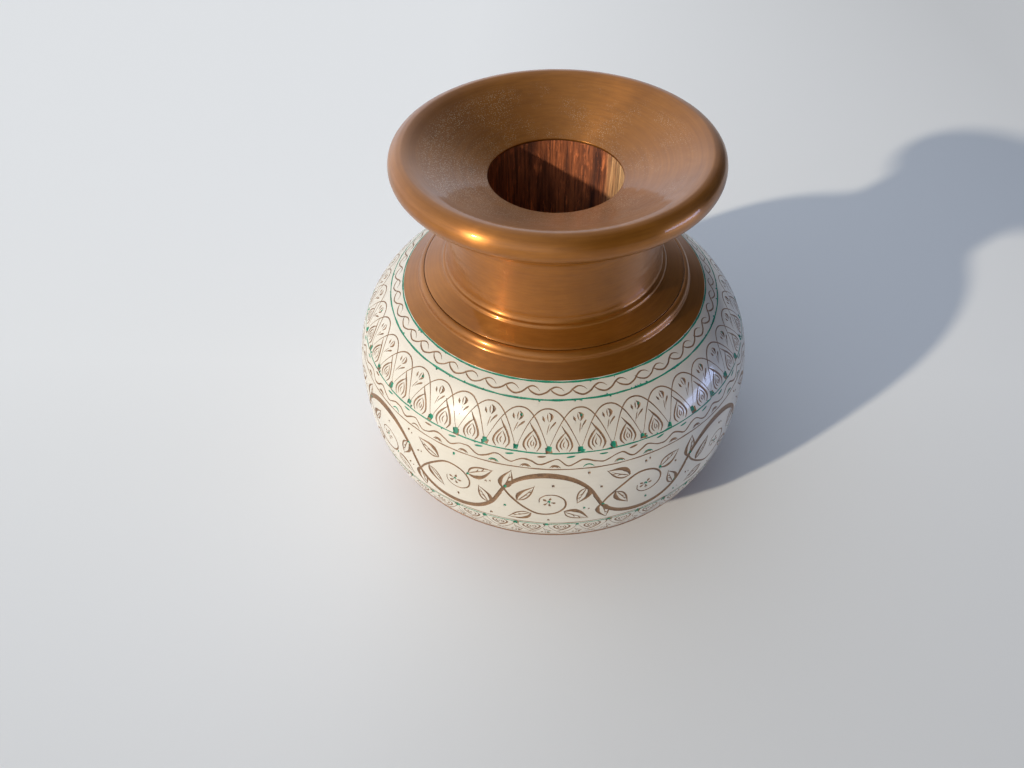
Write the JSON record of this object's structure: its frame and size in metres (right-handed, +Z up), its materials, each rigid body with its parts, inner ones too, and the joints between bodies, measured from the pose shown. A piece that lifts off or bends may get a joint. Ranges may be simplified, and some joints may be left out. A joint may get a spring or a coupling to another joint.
{
  "type": "lacquered wooden pot",
  "caption": "Lathe-turned wooden pot with flared bronze lacquer mouth, straight drilled bore, stepped collar and round cream belly engraved with a leaf and scroll pattern.",
  "frame": {"origin": "centre of the flat base, on the turning axis", "axes": "+Z up along the turning axis; -Y towards the viewer of the front"},
  "size_m": [0.1268, 0.1268, 0.1187],
  "materials": {
    "neck_wood": "bare bored wood, satin",
    "belly_wood": "bare turned wood, satin",
    "neck_bronze": "bronze pigmented lac, polished",
    "collar_bronze": "bronze pigmented lac, polished",
    "foot_bronze": "bronze pigmented lac, polished",
    "green_lac": "green lac, cut surface",
    "brown_lac": "bronze brown lac, cut surface",
    "cream_lac": "cream lac, polished"
  },
  "bodies": {
    "root": {"neck_block": "neck_wood", "belly_block": "belly_wood", "neck_coat": "neck_bronze", "collar_coat": "collar_bronze", "green_coat": "green_lac", "brown_coat": "brown_lac", "cream_coat": "cream_lac", "foot_coat": "foot_bronze"}
  },
  "joints": []
}
